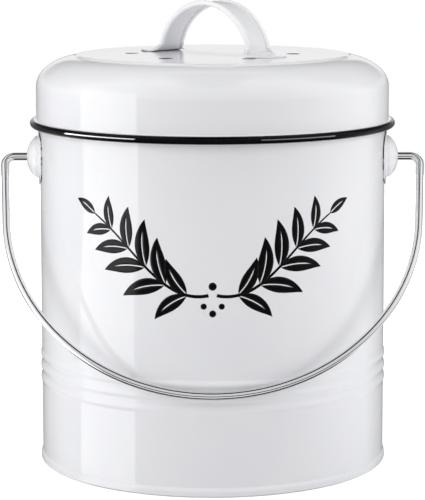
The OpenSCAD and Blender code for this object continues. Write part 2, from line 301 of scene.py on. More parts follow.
# What gloss sees all round as (angle, brightness), close above the table and higher up
LOW_RING = (
    (-180, 0.2), (-166, 0.25), (-134, 0.3), (-118, 0.6), (-60, 0.6), (-48, 0.14), (10, 0.08),
    (55, 0.2), (80, 0.55), (100, 0.75), (122, 0.8), (136, 0.3), (166, 0.25), (180, 0.2),
)
HIGH_RING = (
    (-180, 0.88), (-168, 0.88), (-156, 0.45), (-126, 0.45), (-116, 1.0), (-60, 1.0), (-40, 0.75),
    (50, 0.75), (70, 1.0), (116, 1.0), (126, 0.45), (156, 0.45), (168, 0.88), (180, 0.88),
)
REAR_FLAG = 0.15
TABLE_GLOSS = 0.95
UNDER_TABLE = 0.04
TOP_GAP = 0.0
# The softbox in degrees; its angle is counted from the back
BOX_ANGLE = 105.5
BOX_HALF_W = 19.5
BOX_HALF_H = 24
BOX_LEAN = 4.0
BOX_SPREAD = 0.5


# ---------------------------------------------------------------- points


def polar(radius, angle):
    """The point at that radius and angle, in degrees."""
    turn = math.radians(angle)
    return radius * math.cos(turn), radius * math.sin(turn)


def arc(centre, radius, start, end, steps):
    """Points along an arc from one angle to another."""
    points = []
    for i in range(steps + 1):
        x, y = polar(radius, start + (end - start) * i / steps)
        points.append((centre[0] + x, centre[1] + y))
    return points


def span(start, end, steps):
    """Evenly spaced numbers, both ends included."""
    return [start + (end - start) * i / steps for i in range(steps + 1)]


def smooth(x):
    """An S-shaped step from 0 to 1."""
    x = min(max(x, 0.0), 1.0)
    return x * x * (3 - 2 * x)


# ---------------------------------------------------------------- meshes


def put_in_scene(name, data):
    """A new object in the scene, with that mesh, lamp or camera."""
    thing = bpy.data.objects.new(name, data)
    bpy.context.scene.collection.objects.link(thing)
    return thing


def to_metres(bm):
    """Faces a bmesh outwards and scales it from millimetres to metres."""
    bmesh.ops.recalc_face_normals(bm, faces=bm.faces)
    bmesh.ops.scale(bm, vec=(MM, MM, MM), verts=bm.verts)


def mesh_from(name, bm):
    """The bmesh as a mesh. The bmesh is used up."""
    mesh = bpy.data.meshes.new(name)
    bm.to_mesh(mesh)
    bm.free()
    return mesh


def smooth_shade(mesh, sharp):
    """Smooth shading, with creases where faces meet at more than sharp degrees."""
    mesh.shade_smooth()
    mesh.set_sharp_from_angle(angle=math.radians(sharp))


def make_piece(name, bm, material, body, sharp=35):
    """Turns a bmesh in millimetres into a piece that rides on a body."""
    bmesh.ops.remove_doubles(bm, verts=bm.verts, dist=MERGE)
    to_metres(bm)
    mesh = mesh_from(name, bm)
    smooth_shade(mesh, sharp)
    mesh.materials.append(material)
    piece = put_in_scene(name, mesh)
    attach(piece, body)
    return piece


def thicken(piece, thickness):
    """Gives a skin its thickness, inwards from its outer face."""
    skin = piece.modifiers.new("thickness", "SOLIDIFY")
    skin.thickness = thickness * MM
    skin.offset = -1


def circle(radius, steps):
    """Points evenly round a circle."""
    return [polar(radius, 360 * i / steps) for i in range(steps)]


def add_ring(bm, points):
    """Vertices at a ring of points."""
    return [bm.verts.new(point) for point in points]


def bridge_rings(bm, rings, closed):
    """Joins rings of vertices with quads; closed also joins the last ring to the first."""
    count = len(rings)
    for i in range(count if closed else count - 1):
        low = rings[i]
        high = rings[(i + 1) % count]
        for j in range(len(low)):
            k = (j + 1) % len(low)
            corners = [low[j], low[k], high[k], high[j]]
            if len(set(corners)) == 4:
                bm.faces.new(corners)


def spin_profile(bm, profile, steps):
    """Spins a closed outline of (radius, height) points about the upright axis."""
    rings = []
    for radius, z in profile:
        rings.append(add_ring(bm, [(x, y, z) for x, y in circle(radius, steps)]))
    bridge_rings(bm, rings, True)


def sweep(bm, stations):
    """Joins a row of rings of points into a tube, closed at both ends."""
    rings = [add_ring(bm, ring) for ring in stations]
    bridge_rings(bm, rings, False)
    bm.faces.new(rings[0][::-1])
    bm.faces.new(rings[-1])


# ---------------------------------------------------------------- shader maths


class Value:
    """A number in a shader. Sums and products of it add Math nodes."""

    def __init__(self, nodes, socket):
        self.nodes = nodes
        self.socket = socket

    def math(self, operation, first, second):
        node = self.nodes.add("Math", {"operation": operation}, {0: first, 1: second})
        return Value(self.nodes, node.outputs[0])

    def __add__(self, other):
        return self.math("ADD", self, other)

    def __radd__(self, other):
        return self.math("ADD", other, self)

    def __sub__(self, other):
        return self.math("SUBTRACT", self, other)

    def __rsub__(self, other):
        return self.math("SUBTRACT", other, self)

    def __mul__(self, other):
        return self.math("MULTIPLY", self, other)

    def __rmul__(self, other):
        return self.math("MULTIPLY", other, self)

    def __pow__(self, other):
        return self.math("POWER", self, other)

    def size(self):
        """The number without its sign."""
        return self.math("ABSOLUTE", self, 0.0)

    def angle_to(self, other):
        """The angle of the point (other, self), in radians."""
        return self.math("ARCTAN2", self, other)

    def arcsine(self):
        return self.math("ARCSINE", self, 0.0)

    def least(self, other):
        return self.math("MINIMUM", self, other)

    def most(self, other):
        return self.math("MAXIMUM", self, other)


class Nodes:
    """A node tree, and one method that adds any node to it."""

    def __init__(self, tree):
        self.tree = tree
        tree.nodes.clear()

    def add(self, kind, settings=None, sockets=None):
        node = self.tree.nodes.new("ShaderNode" + kind)
        for name, value in (settings or {}).items():
            if name == "stops":
                self.set_stops(node.color_ramp, value)
            else:
                setattr(node, name, value)
        for name, value in (sockets or {}).items():
            self.feed(node.inputs[name], value)
        return node

    def feed(self, socket, value):
        if isinstance(value, Value):
            value = value.socket
        if isinstance(value, bpy.types.NodeSocket):
            self.tree.links.new(value, socket)
        else:
            socket.default_value = value

    def set_stops(self, ramp, stops):
        while len(ramp.elements) < len(stops):
            ramp.elements.new(0.5)
        for element, (place, colour) in zip(ramp.elements, stops):
            element.position = place
            element.color = colour

    def value(self, node, output=0):
        return Value(self, node.outputs[output])

    def place(self):
        """Where the point is on the piece, in metres."""
        return self.add("TexCoord").outputs["Object"]

    def stretched(self, place, scale):
        node = self.add("Mapping", None, {"Vector": place, "Scale": scale})
        return node.outputs["Vector"]

    def axes(self, place):
        node = self.add("SeparateXYZ", None, {0: place})
        return [self.value(node, i) for i in range(3)]

    def noise(self, place, scale, detail=2.0, rough=0.5):
        sockets = {"Vector": place, "Scale": scale, "Detail": detail, "Roughness": rough}
        return self.value(self.add("TexNoise", None, sockets))

    def step(self, value, low, high):
        """0 below low, 1 above high, and smooth between."""
        settings = {"interpolation_type": "SMOOTHSTEP"}
        sockets = {"Value": value, "From Min": low, "From Max": high}
        return self.value(self.add("MapRange", settings, sockets))

    def blend(self, mask, first, second):
        """A colour between two, by a mask."""
        node = self.add("Mix", {"data_type": "RGBA"}, {0: mask, 6: first, 7: second})
        return node.outputs[2]

    def bump(self, height, distance):
        sockets = {"Height": height, "Distance": distance, "Strength": 1.0}
        return self.add("Bump", None, sockets).outputs[0]


def finish_with(name, dress):
    """A new material whose shader's sockets are what dress(nodes) returns."""
    material = bpy.data.materials.new(name)
    material.use_nodes = True
    nodes = Nodes(material.node_tree)
    shader = nodes.add("BsdfPrincipled", None, dress(nodes))
    nodes.add("OutputMaterial", None, {"Surface": shader.outputs[0]})
    return material


# ---------------------------------------------------------------- finishes


def enamel(nodes, colour, deep_colour, gloss, ior):
    """Fired enamel: a glassy coat that is a little uneven, like orange peel."""
    place = nodes.place()
    peel = nodes.noise(place, 520.0, 1.0)
    ripple = nodes.noise(place, 46.0, 1.0)
    cloud = nodes.noise(place, 21.0, 3.0)
    speck = nodes.step(nodes.noise(place, 1900.0, 0.0), 0.83, 0.86)
    tone = nodes.step(cloud, 0.35, 0.7)
    shade = nodes.blend(tone, colour, deep_colour)
    return {
        "Base Color": nodes.blend(speck * 0.25, shade, (0.45, 0.43, 0.4, 1)),
        "Roughness": gloss + 0.05 * cloud,
        "IOR": ior,
        "Normal": nodes.bump(peel * 0.35 + ripple, 0.000012),
    }


def white_enamel(nodes):
    white = (0.848, 0.85, 0.872, 1)
    return enamel(nodes, white, (0.83, 0.833, 0.858, 1), 0.02, 1.6)


def thick_enamel(nodes):
    """Lighter white enamel for the strap's rolled edges: a painted highlight."""
    return enamel(nodes, (0.95, 0.95, 0.96, 1), (0.93, 0.93, 0.945, 1), 0.02, 1.6)


def edge_shade_enamel(nodes):
    """White enamel on cut edges, with dark dashes painted on as the shade along gaps and inside holes.
    """
    sockets = white_enamel(nodes)
    place = nodes.place()
    patchy = nodes.noise(nodes.stretched(place, (-60.0, 60.0, 420.0)), 1.0, 2.0, 0.6)
    # Dark dashes of painted shade
    shade_dashes = nodes.step(patchy, 0.42, 0.54)
    sockets["Base Color"] = nodes.blend(shade_dashes, (0.6, 0.6, 0.62, 1), (0.03, 0.03, 0.033, 1))
    sockets["Roughness"] = 0.08 + 0.35 * shade_dashes
    return sockets


def black_enamel(nodes):
    black = (0.0004, 0.0004, 0.0005, 1)
    return enamel(nodes, black, (0.0008, 0.0008, 0.0009, 1), 0.015, 1.2)


def fired_print(nodes):
    """The black print on the wall, fired into the enamel."""
    place = nodes.place()
    pool = nodes.noise(place, 90.0, 3.0)
    shade = nodes.blend(pool, (0.001, 0.001, 0.0012, 1), (0.003, 0.003, 0.0035, 1))
    peel = nodes.noise(place, 520.0, 1.0)
    return {
        "Base Color": shade,
        "Roughness": 0.07 + 0.08 * pool,
        "IOR": 1.32,
        "Normal": nodes.bump(peel, 0.000006),
    }


def drawn_chrome(nodes):
    """Bright plated wire with the faint lines that drawing leaves along it."""
    place = nodes.place()
    across = nodes.noise(nodes.stretched(place, (90.0, 90.0, 900.0)), 6.0, 3.0)
    smear = nodes.noise(place, 55.0, 3.0)
    shade = nodes.blend(smear, (0.86, 0.865, 0.88, 1), (0.78, 0.785, 0.8, 1))
    return {
        "Base Color": shade,
        "Metallic": 1.0,
        "Roughness": 0.07 + 0.1 * nodes.step(smear, 0.4, 0.8),
        "Normal": nodes.bump(across, 0.000004),
    }


def clip_steel(nodes):
    """Spring steel with a rolled grain."""
    place = nodes.place()
    grain = nodes.noise(nodes.stretched(place, (300.0, 300.0, 9000.0)), 1.0, 4.0, 0.7)
    shade = nodes.blend(grain, (0.5, 0.5, 0.51, 1), (0.66, 0.66, 0.67, 1))
    return {
        "Base Color": shade,
        "Metallic": 1.0,
        "Roughness": 0.25 + 0.2 * grain,
        "Normal": nodes.bump(grain, 0.00001),
    }


def tray_plastic(nodes):
    """Black moulded plastic with a fine spark-eroded grain."""
    place = nodes.place()
    grain = nodes.noise(place, 2600.0, 2.0, 0.6)
    flow = nodes.noise(place, 45.0, 4.0)
    shade = nodes.blend(flow, (0.018, 0.018, 0.02, 1), (0.028, 0.028, 0.03, 1))
    return {
        "Base Color": shade,
        "Roughness": 0.42 + 0.25 * grain,
        "IOR": 1.49,
        "Normal": nodes.bump(grain, 0.00003),
    }


def charcoal_felt(nodes):
    """Needled fibre felt filled with charcoal dust."""
    place = nodes.place()
    tuft = nodes.noise(place, 420.0, 6.0, 0.75)
    fibre_x = nodes.noise(nodes.stretched(place, (260.0, 2600.0, 1400.0)), 1.0, 3.0, 0.7)
    fibre_y = nodes.noise(nodes.stretched(place, (2600.0, 260.0, 1400.0)), 1.0, 3.0, 0.7)
    fluff = fibre_x.most(fibre_y)
    top = nodes.step(fluff, 0.45, 0.75)
    shade = nodes.blend(top, (0.012, 0.012, 0.013, 1), (0.06, 0.06, 0.062, 1))
    return {
        "Base Color": shade,
        "Roughness": 0.86 + 0.12 * tuft,
        "Sheen Weight": 0.25,
        "Normal": nodes.bump(tuft + fluff, 0.0004),
    }


# ---------------------------------------------------------------- pail


def bead_swell(z):
    """How far the wall stands out at a height, because of the three beads."""
    total = 0.0
    for bead in BEADS:
        away = abs(z - bead)
        if away < BEAD_REACH:
            total += BEAD_PROUD * (0.5 + 0.5 * math.cos(math.pi * away / BEAD_REACH))
    return total


def wall_profile():
    """The wall's closed section: up its outside, round the curl, and down its inside."""
    low = BEADS[0] - BEAD_REACH
    high = BEADS[-1] + BEAD_REACH
    curl = (PAIL_R - CURL_R, PAIL_H - CURL_R)
    heights = [WALL_FOOT] + span(2.0, low, steps=6)
    heights += span(low, high, steps=64)[1:]
    heights += span(high, curl[1], steps=20)[1:-1]
    outside = [(PAIL_R + bead_swell(z), z) for z in heights]
    inside = [(radius - SHEET, z) for radius, z in outside]
    roll = arc(curl, CURL_R, 0, CURL_TURN, steps=30)
    roll_in = arc(curl, CURL_R - SHEET, CURL_TURN, 0, steps=30)
    return outside + roll + roll_in + inside[::-1]


def make_wall(material):
    bm = bmesh.new()
    spin_profile(bm, wall_profile(), ROUND)
    add_lap(bm)
    return make_piece("pail_wall", bm, material, "pail")


def add_lap(bm):
    """The welded lap, a low strip with rounded sides, inside the back of the wall."""
    skin = PAIL_R - SHEET
    half = math.degrees(LAP_W / 2 / skin)
    stations = []
    for z in LAP_HEIGHTS:
        thin = LAP_END_SHARE if z in (LAP_HEIGHTS[0], LAP_HEIGHTS[-1]) else 1.0
        ring = []
        for side, depth in LAP_SECTION:
            radius = skin + (depth if depth > 0 else depth * thin)
            x, y = polar(radius, 90 + side * half)
            ring.append((x, y, z))
        stations.append(ring)
    sweep(bm, stations)


def base_profile():
    """The base's closed section: down the fold, under the floor, and back over the floor."""
    outer_bend = (FOLD_OUT - FOLD_BEND_OUT, FOLD_BEND_Z)
    inner_bend = (FOLD_IN + FOLD_BEND_IN, FOLD_BEND_IN)
    points = list(FOLD_LIP)
    points += arc(outer_bend, FOLD_BEND_OUT, 15, -75, steps=8)
    points.append((LAND_OUT, 0.0))
    points += arc(inner_bend, FOLD_BEND_IN, -90, -180, steps=6)
    points += [(FOLD_IN, FOLD_TOP_IN), (FOLD_IN - SHEET, FLOOR_UNDER)]
    points += [(FLOOR_RING, FLOOR_UNDER), (MIDDLE, FLOOR_UNDER)]
    points += [(MIDDLE, FLOOR_Z), (FLOOR_RING, FLOOR_Z)]
    return points + list(FLOOR_LIP)


def make_base(material):
    bm = bmesh.new()
    spin_profile(bm, base_profile(), ROUND)
    return make_piece("base_pan_skin", bm, material, "pail", sharp=50)


def dome_height(rho):
    """How far the ear stands out from its flange at a distance from its middle."""
    crown = ((DOME_R - KNUCKLE) ** 2 + DOME_H**2 - KNUCKLE**2) / (2 * (DOME_H - KNUCKLE))
    turn = math.degrees(math.atan2(crown - DOME_H, DOME_R - KNUCKLE))
    meet = DOME_R - KNUCKLE + KNUCKLE * math.cos(math.radians(turn))
    if rho <= meet:
        return math.sqrt(max(crown**2 - rho**2, 0.0)) - (crown - DOME_H)
    if rho < DOME_R:
        return math.sqrt(max(KNUCKLE**2 - (rho - DOME_R + KNUCKLE) ** 2, 0.0))
    return 0.0


def ear_rings():
    """Rings from the wire's hole outwards: distance from the middle, share of the flange, height."""
    hole = WIRE_R + WIRE_PLAY
    rings = [(hole + past, 0, DOME_H - below) for past, below in HOLE_LIP]
    rings.append((hole + LIP_REACH, 0, dome_height(CROWN_START)))
    rings += [(rho, 0, dome_height(rho)) for rho in span(*CROWN_SPAN, steps=7)]
    for turn in span(*KNUCKLE_TURNS, steps=12):
        x, height = polar(KNUCKLE, turn)
        rho = x + DOME_R - KNUCKLE
        if rho > KNUCKLE_START:
            rings.append((rho, 0, height))
    fillet = arc((DOME_R + FILLET_OUT, FILLET_R), FILLET_R, 190, 265, steps=5)
    rings += [(rho, 0, height) for rho, height in fillet]
    return rings + [(FLANGE_IN, share, height) for share, height in FLANGE_SECTION]


def flange_point(turn):
    """The flange's outline: a wide plate with round corners."""
    c, s = polar(1.0, turn)
    grow = (abs(c) ** FLANGE_SQUARE + abs(s) ** FLANGE_SQUARE) ** (-1 / FLANGE_SQUARE)
    return FLANGE_HALF_W * c * grow, FLANGE_HALF_H * s * grow


def weld_dent(away, radius, depth):
    """How deep a spot weld's round dent is, away from its middle."""
    return depth * (1 - smooth(away / radius))


def ear_dents(y, z):
    """The two spot welds on an ear's flange."""
    depth = 0.0
    for side in (-1, 1):
        depth += weld_dent(math.hypot(y - side * EAR_WELD_OUT, z), EAR_WELD_R, EAR_WELD_DEEP)
    return depth


def make_ear(name, side, material, edge_shade_material):
    """A domed ear, bent round the wall at its flange and flat across its dome."""
    bm = bmesh.new()
    rings = []
    for rho, share, height in ear_rings():
        ring = []
        for i in range(ROUND_EAR):
            turn = 360 * i / ROUND_EAR
            y, z = polar(rho, turn)
            far_y, far_z = flange_point(turn)
            y, z = y + (far_y - y) * share, z + (far_z - z) * share
            skin = math.sqrt((EAR_IN + EAR_T) ** 2 - y * y)
            if rho < DOME_R:
                flat = EAR_IN + EAR_T
                skin += (flat - skin) * smooth((DOME_R - rho) / DOME_FLAT_RUN)
            lift = height - ear_dents(y, z)
            ring.append((side * (skin + lift), y, PIVOT_Z + z))
        rings.append(add_ring(bm, ring))
    bridge_rings(bm, rings, False)
    # The flange's cut edge gets dashes of painted shade, for the gap against the wall
    edge = {vert for ring in rings[-EDGE_RINGS:] for vert in ring}
    for face in bm.faces:
        if edge.issuperset(face.verts):
            face.material_index = EDGE_SHADE_FINISH
    ear = make_piece(name, bm, material, "pail", sharp=60)
    ear.data.materials.append(edge_shade_material)
    thicken(ear, EAR_SHEET)
    return ear


# ---------------------------------------------------------------- print


def on_wall(u, v):
    """A point of the print: u millimetres round the front of the wall and v up."""
    turn = u / PAIL_R
    return PRINT_R * math.sin(turn), -PRINT_R * math.cos(turn), v


def curve_point(points, t):
    """A point of a smooth curve through four guide points."""
    s = 1 - t
    weights = (s**3, 3 * s * s * t, 3 * s * t * t, t**3)
    return tuple(sum(w * p[i] for w, p in zip(weights, points)) for i in range(2))


def curve_frames(points, steps):
    """Points along the curve, each with its unit direction."""
    near = 0.01
    frames = []
    for t in span(0, 1, steps):
        here = curve_point(points, t)
        back = curve_point(points, max(t - near, 0))
        ahead = curve_point(points, min(t + near, 1))
        dx, dy = ahead[0] - back[0], ahead[1] - back[1]
        long = math.hypot(dx, dy)
        frames.append((here, (dx / long, dy / long)))
    return frames


def add_band(bm, frames, edges):
    """A strip along a curve. edges(t) gives its two sides' distances from the curve."""
    rows = []
    last = len(frames) - 1
    for i, ((x, y), (dx, dy)) in enumerate(frames):
        near, far = edges(i / last)
        row = []
        for share in span(0, 1, steps=4):
            off = near + (far - near) * share
            row.append(bm.verts.new(on_wall(x - dy * off, y + dx * off)))
        rows.append(row)
    for low, high in zip(rows, rows[1:]):
        for j in range(len(low) - 1):
            bm.faces.new([low[j], low[j + 1], high[j + 1], high[j]])


def add_stem(bm, points):
    """The stem, which thins towards its tip and ends round."""

    def edges(t):
        tip = 1 - smooth((t - 0.97) / 0.03) * 0.6
        half = (STEM_THICK + (STEM_THIN - STEM_THICK) * t) / 2 * tip
        return -half, half

    add_band(bm, curve_frames(points, steps=40), edges)


def add_leaf(bm, root, heading, length, width, bend):
    """A pointed leaf of two halves with an uninked vein between them."""
    turn = math.radians(heading)
    dx, dy = math.cos(turn), math.sin(turn)
    x, y = root

    def guide(along, aside):
        return x + dx * length * along - dy * aside, y + dy * length * along + dx * aside

    points = (root, guide(0.33, bend), guide(0.7, bend), guide(1.0, 0.0))
    frames = curve_frames(points, steps=24)

    def outline(t):
        return width / 2 * math.sin(math.pi * t**0.82) ** 0.9 * (1 - 0.12 * t)

    def vein(t):
        return VEIN * (1 - smooth((t - 0.55) / 0.2)) * smooth(t / 0.06)

    def right(t):
        full = max(outline(t), 0.03)
        return min(vein(t), full * 0.8), full

    def left(t):
        near, far = right(t)
        return -far, -near

    add_band(bm, frames, right)
    add_band(bm, frames, left)


def add_dot(bm, u, v, radius):
    """A round dot: rings of points with the middle one filled."""
    rings = []
    for share in (0.04, 0.5, 1.0):
        points = [on_wall(u + x, v + y) for x, y in circle(radius * share, ROUND_SMALL)]
        rings.append(add_ring(bm, points))
    bridge_rings(bm, rings, False)
    bm.faces.new(rings[0])


def half_garland(bm, side):
    """One half of the garland: a stem that runs out to one side, with pairs of leaves."""
    stem = [(side * u, v) for u, v in STEM]
    frames = curve_frames(stem, STEM_STEPS)
    add_stem(bm, stem)
    for step, length, width, bend in LEAF_PAIRS:
        (x, y), (dx, dy) = frames[step]
        run = math.degrees(math.atan2(dy, dx))
        for lean in LEAF_LEANS:
            aside = math.copysign(LEAF_ROOT, lean)
            root = (x - dy * aside, y + dx * aside)
            add_leaf(bm, root, run + lean, length, width, math.copysign(bend, -lean))
    (x, y), (dx, dy) = frames[-1]
    length, width, bend = TIP_LEAF
    add_leaf(bm, (x - dx, y - dy), math.degrees(math.atan2(dy, dx)), length, width, bend * side)


def make_print(material):
    """The garland, as a thin skin of ink on the wall."""
    bm = bmesh.new()
    for side in (-1, 1):
        half_garland(bm, side)
    for u, v, radius in DOTS:
        add_dot(bm, u, v, radius)
    piece = make_piece("leaf_print", bm, material, "pail")
    thicken(piece, INK)
    return piece


# ---------------------------------------------------------------- bail


def bail_path():
    """The wire's middle line in the bail's own plane, from the left head to the right one."""
    lean = math.radians(LEG_LEAN)
    half = math.radians(GRIP_HALF)
    bend = (EAR_IN + EAR_T + DOME_H + STUB, -BEND_R)
    head = (bend[0] + BEND_R * math.cos(lean), bend[1] - BEND_R * math.sin(lean))
    grip = (0.0, GRIP_R - BAIL_LEN)
    line_in = head[0] - (head[1] - grip[1]) * math.tan(lean)
    grip_in = GRIP_R * (math.sin(half) + math.cos(half) * math.tan(lean))
    side_in = 1 / math.cos(lean) - math.sin(half) - math.cos(half) * math.tan(lean)
    side_r = (line_in - grip_in) / side_in
    dx, dz = polar(GRIP_R - side_r, GRIP_HALF - 90)
    side = (grip[0] + dx, grip[1] + dz)
    right = arc(grip, GRIP_R, -90, GRIP_HALF - 90, steps=40)
    right += arc(side, side_r, GRIP_HALF - 90, -LEG_LEAN, steps=40)[1:]
    foot = right[-1]
    leg = (head[0] - foot[0], head[1] - foot[1])
    right += [(foot[0] + leg[0] * t, foot[1] + leg[1] * t) for t in span(0.1, 0.9, steps=8)]
    right += arc(bend, BEND_R, -LEG_LEAN, 90, steps=18)
    right += [(x, 0.0) for x in span(bend[0] - 1.0, EAR_IN + EAR_T + STUB_IN, steps=6)]
    return [(-x, z) for x, z in right[:0:-1]] + right


def across_path(path, i):
    """The unit vector square to a path of (x, z) points, at one of them."""
    ahead = path[min(i + 1, len(path) - 1)]
    back = path[max(i - 1, 0)]
    dx, dz = ahead[0] - back[0], ahead[1] - back[1]
    long = math.hypot(dx, dz)
    return -dz / long, dx / long


def add_wire_heads(bm):
    """The head on each end of the wire, which keeps it in its ear."""
    start = EAR_IN + EAR_T + HEAD_IN
    for side in (-1, 1):
        rings = []
        for out, radius in HEAD_OUTLINE:
            x = side * (start + out)
            rings.append(add_ring(bm, [(x, y, PIVOT_Z + z) for y, z in circle(radius, ROUND_SMALL)]))
        bridge_rings(bm, rings, True)


def make_bail(material):
    """The wire, swept in its own plane and leant forwards until it rests on the wall."""
    lean = math.asin(REST_Y / BAIL_LEN)
    path = bail_path()
    stations = []
    for i, (x, z) in enumerate(path):
        nx, nz = across_path(path, i)
        ring = []
        for out, flat_y in circle(WIRE_R, ROUND_SMALL):
            flat_z = z + nz * out
            leant_y = flat_y * math.cos(lean) + flat_z * math.sin(lean)
            leant_z = flat_z * math.cos(lean) - flat_y * math.sin(lean)
            ring.append((x + nx * out, leant_y, PIVOT_Z + leant_z))
        stations.append(ring)
    bm = bmesh.new()
    sweep(bm, stations)
    add_wire_heads(bm)
    return make_piece("bail_wire", bm, material, "bail")


# ---------------------------------------------------------------- lid


def lid_face(depth):
    """The lid's section from the rim to the middle, at a depth below its upper face."""
    shallow = 90 - SHOULDER_SLOPE
    steep = 90 - RISER_SLOPE
    c1 = (LID_R - SHOULDER_R1, LID_Z)
    dx, dz = polar(SHOULDER_R1 - SHOULDER_R2, SHOULDER_TURN)
    c2 = (c1[0] + dx, c1[1] + dz)
    dx, dz = polar(SHOULDER_R2, shallow)
    end = (c2[0] + dx, c2[1] + dz)
    foot_z = end[1] + (end[0] - DISC_FOOT) * math.tan(math.radians(SHOULDER_SLOPE))
    dx, dz = polar(RISER_R, shallow)
    c3 = (DISC_FOOT + dx, foot_z + dz)
    dx, dz = polar(2 * RISER_R, steep)
    c4 = (c3[0] - dx, c3[1] - dz)
    ledge = RIM_Z + RIM_TUBE
    flare = (LID_R + FLARE_R, ledge + FLARE_R)
    points = [(RIM_X, ledge - depth)]
    points += arc(flare, FLARE_R + depth, -90, -180, steps=8)
    points += [(LID_R - depth, z) for z in span(ledge + 2.0, LID_Z - 0.5, steps=6)]
    points += arc(c1, SHOULDER_R1 - depth, 0, SHOULDER_TURN, steps=20)
    points += arc(c2, SHOULDER_R2 - depth, SHOULDER_TURN, shallow, steps=20)[1:]
    points += [(c3[0] - x, c3[1] - z) for x, z in arc((0, 0), RISER_R + depth, shallow, steep, steps=10)]
    points += arc(c4, RISER_R - depth, steep, 90, steps=10)[1:]
    top = c4[1] + RISER_R - depth
    return points + [(radius, top) for radius in DISC_RADII]


def make_punch(edge_shade_material):
    """The punch for the vents: a straight pin for each, in the painted-shade finish of their edges."""
    bm = bmesh.new()
    for i in range(VENT_N):
        x, y = polar(VENT_RING, VENT_START + 360 * i / VENT_N)
        pin = [(x + dx, y + dy) for dx, dy in circle(VENT_R, ROUND_VENT)]
        sweep(bm, [[(px, py, z) for px, py in pin] for z in PUNCH_HEIGHTS])
    to_metres(bm)
    mesh = mesh_from("vent_punch", bm)
    mesh.materials.append(edge_shade_material)
    return put_in_scene("vent_punch", mesh)


def cut_vents(shell, edge_shade_material):
    """Punches the vent holes. Their walls get the painted shade finish."""
    punch = make_punch(edge_shade_material)
    cut = shell.modifiers.new("vents", "BOOLEAN")
    cut.object = punch
    cut.operation = "DIFFERENCE"
    cut.solver = "EXACT"
    cut.material_mode = "TRANSFER"
    apply_modifiers(shell)
    bpy.data.objects.remove(punch)


def apply_modifiers(piece):
    """Bakes a piece's modifiers into its mesh."""
    graph = bpy.context.evaluated_depsgraph_get()
    mesh = bpy.data.meshes.new_from_object(piece.evaluated_get(graph))
    piece.modifiers.clear()
    piece.data = mesh


def make_lid_shell(material, edge_shade_material):
    bm = bmesh.new()
    spin_profile(bm, lid_face(0) + lid_face(SHEET)[::-1], ROUND)
    shell = make_piece("lid_pressing", bm, material, "lid")
    cut_vents(shell, edge_shade_material)
    smooth_shade(shell.data, 35)
    return shell


def make_rim(material):
    """The rim, rolled outwards and under from the lid's ledge."""
    stop = 90 - RIM_TURN
    rim = (RIM_X, RIM_Z)
    outer = arc(rim, RIM_TUBE, 90, stop, steps=48)
    inner = arc(rim, RIM_TUBE - SHEET, stop, 90, steps=40)
    bm = bmesh.new()
    spin_profile(bm, outer + inner, ROUND_RIM)
    return make_piece("lid_rolled_rim", bm, material, "lid", sharp=60)


# ---------------------------------------------------------------- strap


def strap_path():
    """The strap's middle line from the top of the arch to the tip of a pad, and the pad's middle."""
    lead = 90 - LEG_TURN
    out = 90 - ARCH_HALF
    arch_cos = math.cos(math.radians(ARCH_HALF))
    leg_cos = math.cos(math.radians(LEG_TURN))
    rise = ARCH_R1 * (1 - arch_cos) + ARCH_R2 * (arch_cos - leg_cos) + FOOT_R * (1 - leg_cos)
    top = STRAP_T / 2 + rise
    c1 = (0.0, top - ARCH_R1)
    dx, dz = polar(ARCH_R1 - ARCH_R2, out)
    c2 = (c1[0] + dx, c1[1] + dz)
    dx, dz = polar(ARCH_R2 + FOOT_R, lead)
    foot = (c2[0] + dx, c2[1] + dz)
    points = arc(c1, ARCH_R1, 90, out, steps=24)
    points += arc(c2, ARCH_R2, out, lead, steps=30)[1:]
    points += arc(foot, FOOT_R, 180 + lead, 270, steps=16)[1:]
    pad = foot[0] + PAD_OUT
    for angle in span(-2, PAD_TIP, steps=22):
        points.append((pad + PAD_R * math.sin(math.radians(angle)), STRAP_T / 2))
    return points, pad


def strap_widths(points):
    """Half the strap's width and how much of its edges is rolled, at each point."""
    runs = [0.0]
    for a, b in zip(points, points[1:]):
        runs.append(runs[-1] + math.hypot(b[0] - a[0], b[1] - a[1]))
    end = runs[-1] + PAD_R * (1 - math.sin(math.radians(PAD_TIP)))
    leg = EDGE_GAP / 2 + EDGE_R
    widths = []
    for run in runs:
        away = end - PAD_R - run
        disc = math.sqrt(max(PAD_R**2 - away**2, 0.0)) if abs(away) < PAD_R else 0.0
        roll = 1 - smooth((run - (end - PAD_R - ROLL_END)) / ROLL_FADE)
        strip = leg - NECK * (1 - roll)
        widths.append((max(disc, strip if away > 0 else 0.5), roll))
    return widths


def strap_ring(half, roll):
    """The strap's section as (across, outwards) points.

    A web, bowed a little, runs between two rolled edges with a groove beside each.
    """
    h = STRAP_T / 2
    edge = min(h + (EDGE_R - h) * roll, half * 0.95)
    groove = h - GROOVE * roll
    lift = math.degrees(math.asin(min(groove / edge, 1.0)))
    side = arc((half - edge, 0.0), edge, -(180 - lift), 180 - lift, ROLL_STEPS)
    web = span(WEB_SHARE, -WEB_SHARE, WEB_STEPS)
    start = side[-1][0]

    def bow(t):
        return WEB_CROWN * roll * (1 - t * t)

    top = [(start * t, h + bow(t)) for t in web]
    bottom = [(start * t, -h + bow(t)) for t in web[::-1]]
    other = [(-x, -y) for x, y in side]
    return side + top + other + bottom


def pad_dents(x, across, pad):
    """The two spot welds on each pad."""
    depth = 0.0
    for side in (-1, 1):
        away = math.hypot(abs(x) - pad - PAD_WELD_OUT, across - side * PAD_WELD_ASIDE)
        depth += weld_dent(away, PAD_WELD_R, PAD_WELD_DEEP)
    return depth


